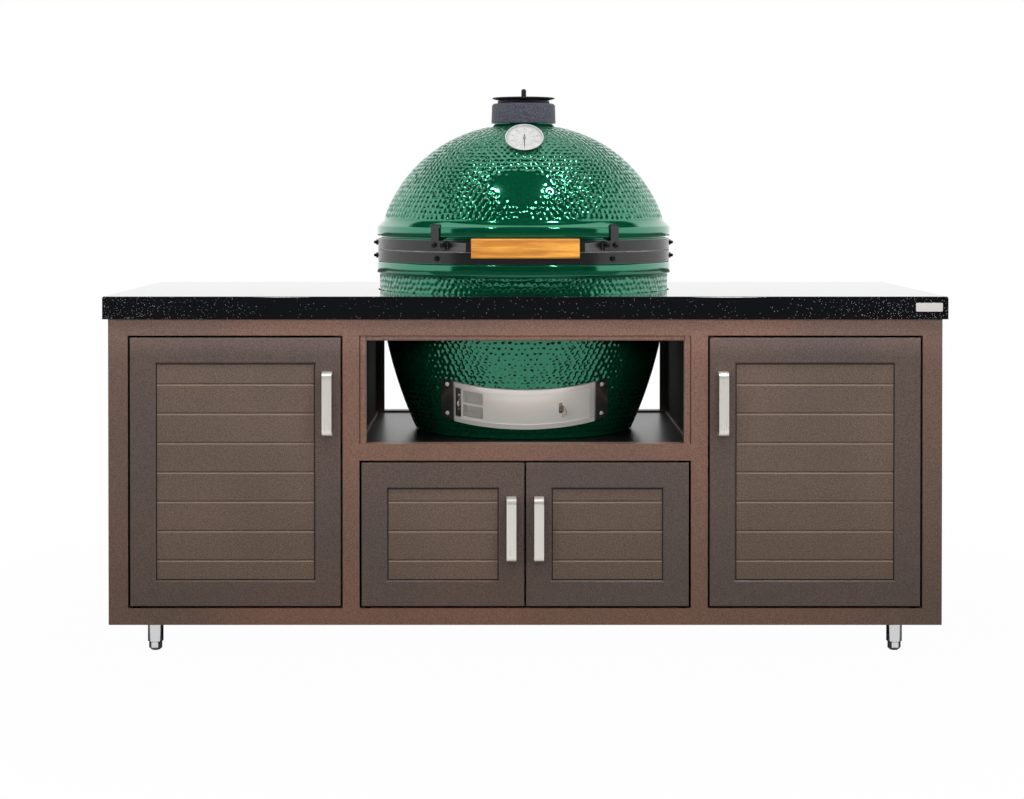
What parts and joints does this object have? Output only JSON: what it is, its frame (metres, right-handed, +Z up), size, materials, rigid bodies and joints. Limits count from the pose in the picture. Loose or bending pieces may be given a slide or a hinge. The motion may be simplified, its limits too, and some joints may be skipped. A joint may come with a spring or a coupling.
{
  "type": "outdoor kitchen island",
  "caption": "Outdoor kitchen island: tube-framed cabinet with doors and an open niche, a folded countertop and a ceramic kamado grill set through it.",
  "frame": {"origin": "on the floor under the middle of the island, on the grill's vertical axis", "axes": "+X to the right seen from the front, +Y to the back, +Z up"},
  "size_m": [1.934, 0.849, 1.315],
  "materials": {
    "brown_frame": "brown powder coat, fine texture",
    "brown_panel": "brown powder coat, fine texture",
    "black_sheet": "satin black powder coat",
    "counter_black": "black powder coat with fine metallic flake",
    "leg_chrome": "polished",
    "plated_steel": "zinc plated",
    "magnet_black": "matt",
    "pull_nickel": "brushed nickel",
    "green_glaze": "deep green gloss glaze over dimpled ceramic",
    "fire_clay": "unglazed",
    "cast_iron": "sand-cast, black",
    "grid_steel": "satin",
    "felt": "grey felt",
    "black_steel": "black powder coat, semi-gloss",
    "spring_steel": "plain",
    "draft_steel": "brushed",
    "oiled_wood": "oiled, straight grain",
    "dial_chrome": "polished",
    "dial_white": "white enamel with black scale",
    "needle_black": "matt",
    "dial_glass": "clear"
  },
  "bodies": {
    "cabinet": {"opening_stops": "brown_frame", "stiles": "brown_frame", "cross_rails": "brown_frame", "depth_rails": "brown_frame", "side_panels": "brown_frame", "back_panels": "brown_frame", "partitions": "black_sheet", "cabinet_floor": "black_sheet", "shelf_bearers": "black_sheet", "grill_shelf": "black_sheet", "countertop": "counter_black", "leg_tubes": "leg_chrome", "leg_inserts": "plated_steel", "door_pivot_pins": "plated_steel", "magnet_catches": "magnet_black", "kamado_base": "green_glaze", "fire_box": "fire_clay", "fire_ring": "fire_clay", "fire_grate": "cast_iron", "cooking_grid": "grid_steel", "base_gasket": "felt", "base_band": "black_steel", "base_hinge_bracket": "black_steel", "base_band_bolts": "black_steel", "hinge_springs": "spring_steel", "hinge_pin": "spring_steel", "draft_frame": "draft_steel"},
    "lid": {"kamado_lid": "green_glaze", "lid_gasket": "felt", "lid_band": "black_steel", "lid_band_bolts": "black_steel", "lid_hinge_bracket": "black_steel", "handle_clips": "black_steel", "handle_arms": "black_steel", "handle_grip": "oiled_wood", "vent_collar": "cast_iron", "thermometer_case": "dial_chrome", "thermometer_dial": "dial_white", "thermometer_glass": "dial_glass"},
    "vent_plate": {"vent_plate": "cast_iron"},
    "vent_wheel": {"vent_wheel": "cast_iron"},
    "thermometer_needle": {"thermometer_needle": "needle_black"},
    "draft_door": {"draft_door": "draft_steel"},
    "ember_screen": {"ember_screen": "draft_steel"},
    "left_door": {"left_door_frame": "brown_frame", "left_door_panel": "brown_panel", "left_door_pull": "pull_nickel"},
    "right_door": {"right_door_frame": "brown_frame", "right_door_panel": "brown_panel", "right_door_pull": "pull_nickel"},
    "left_centre_door": {"left_centre_door_frame": "brown_frame", "left_centre_door_panel": "brown_panel", "left_centre_door_pull": "pull_nickel"},
    "right_centre_door": {"right_centre_door_frame": "brown_frame", "right_centre_door_panel": "brown_panel", "right_centre_door_pull": "pull_nickel"},
    "foot_front_left": {"foot_front_left": "leg_chrome"},
    "foot_front_right": {"foot_front_right": "leg_chrome"},
    "foot_rear_left": {"foot_rear_left": "leg_chrome"},
    "foot_rear_right": {"foot_rear_right": "leg_chrome"}
  },
  "joints": [
    {"name": "left_door_hinge", "type": "hinge", "parent": "cabinet", "child": "left_door", "pos_m": [-0.8925, -0.3815, 0.113], "axis": [0, 0, -1], "range_deg": [0, 105]},
    {"name": "right_door_hinge", "type": "hinge", "parent": "cabinet", "child": "right_door", "pos_m": [0.8925, -0.3815, 0.113], "axis": [0, 0, 1], "range_deg": [0, 105]},
    {"name": "left_centre_door_hinge", "type": "hinge", "parent": "cabinet", "child": "left_centre_door", "pos_m": [-0.362, -0.3815, 0.113], "axis": [0, 0, -1], "range_deg": [0, 105]},
    {"name": "right_centre_door_hinge", "type": "hinge", "parent": "cabinet", "child": "right_centre_door", "pos_m": [0.362, -0.3815, 0.113], "axis": [0, 0, 1], "range_deg": [0, 105]},
    {"name": "lid_hinge", "type": "hinge", "parent": "cabinet", "child": "lid", "pos_m": [0, 0.406, 0.923], "axis": [-1, 0, 0], "range_deg": [0, 70], "stiffness_Nm_per_rad": 60, "springref_deg": 100.27, "deforming": ["hinge_springs"]},
    {"name": "vent_plate_swivel", "type": "hinge", "parent": "lid", "child": "vent_plate", "pos_m": [0.04738, 0.04738, 1.285], "axis": [0, 0, 1], "range_deg": [0, 100]},
    {"name": "vent_wheel_turn", "type": "hinge", "parent": "vent_plate", "child": "vent_wheel", "pos_m": [0, 0, 1.293], "axis": [0, 0, 1], "range_deg": [0, 30]},
    {"name": "needle_turn", "type": "hinge", "parent": "lid", "child": "thermometer_needle", "pos_m": [0, -0.2051, 1.1937], "axis": [0, 0.6947, -0.7193], "range_deg": [0, 270]},
    {"name": "draft_door_slide", "type": "hinge", "parent": "cabinet", "child": "draft_door", "pos_m": [0, 0, 0.6552], "axis": [0, -0.3239, 0.9461], "range_deg": [-10, 2]},
    {"name": "ember_screen_slide", "type": "hinge", "parent": "cabinet", "child": "ember_screen", "pos_m": [0, 0, 0.6552], "axis": [0, -0.3239, 0.9461], "range_deg": [0, 10]},
    {"name": "foot_front_left_screw", "type": "slide", "parent": "cabinet", "child": "foot_front_left", "axis": [0, 0, -1], "range_m": [0, 0.025]},
    {"name": "foot_front_right_screw", "type": "slide", "parent": "cabinet", "child": "foot_front_right", "axis": [0, 0, -1], "range_m": [0, 0.025]},
    {"name": "foot_rear_left_screw", "type": "slide", "parent": "cabinet", "child": "foot_rear_left", "axis": [0, 0, -1], "range_m": [0, 0.025]},
    {"name": "foot_rear_right_screw", "type": "slide", "parent": "cabinet", "child": "foot_rear_right", "axis": [0, 0, -1], "range_m": [0, 0.025]}
  ]
}
